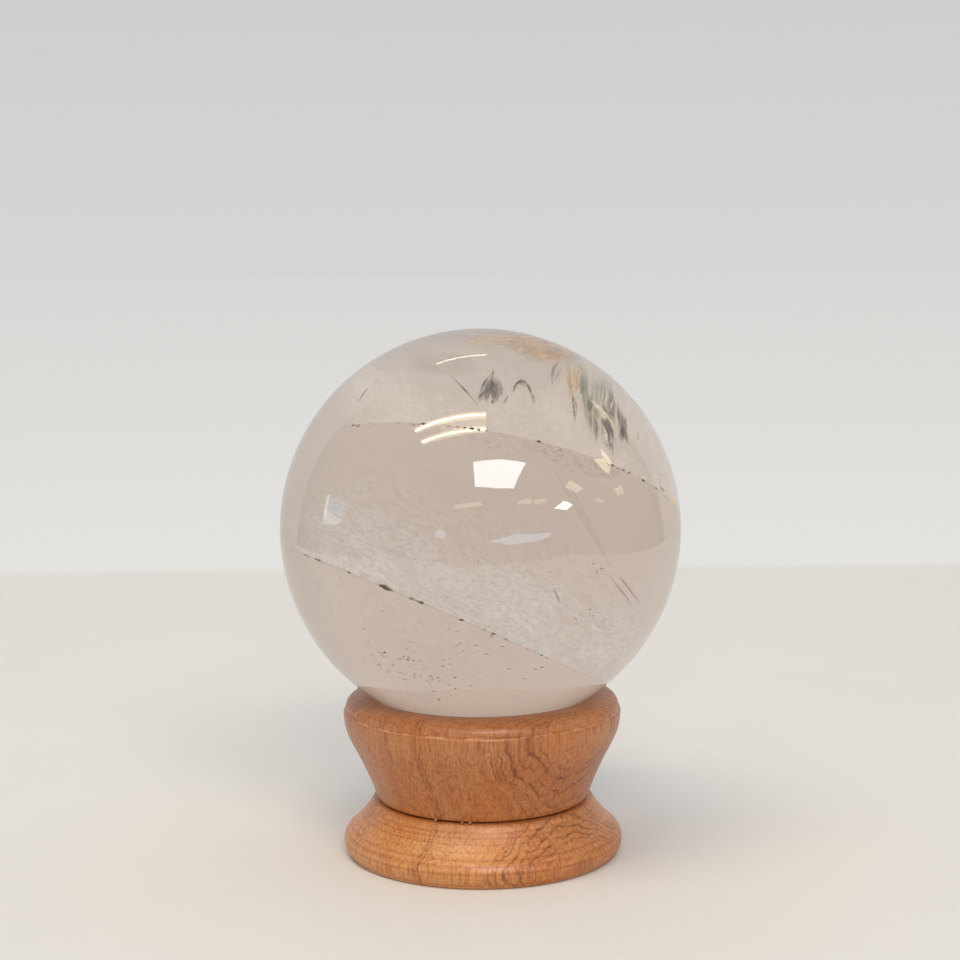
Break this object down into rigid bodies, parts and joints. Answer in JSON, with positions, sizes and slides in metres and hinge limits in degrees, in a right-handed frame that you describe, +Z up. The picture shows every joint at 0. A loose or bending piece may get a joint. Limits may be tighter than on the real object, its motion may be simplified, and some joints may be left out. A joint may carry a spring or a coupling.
{
  "type": "quartz sphere on a turned wooden stand",
  "caption": "Polished hazy quartz sphere resting in the dished top of a turned wooden stand with a rounded lip, a tapered body and a flared foot.",
  "frame": {"origin": "centre of the stand's flat base", "axes": "+Z up along the turning axis; the front is at -Y, with +X to the right"},
  "size_m": [0.07, 0.07, 0.0925],
  "materials": {
    "varnished_wood": "satin varnish over red-brown wood",
    "quartz": "polished, hazy, with healed fractures inside"
  },
  "bodies": {
    "root": {"wooden_stand": "varnished_wood", "quartz_sphere": "quartz"}
  },
  "joints": []
}
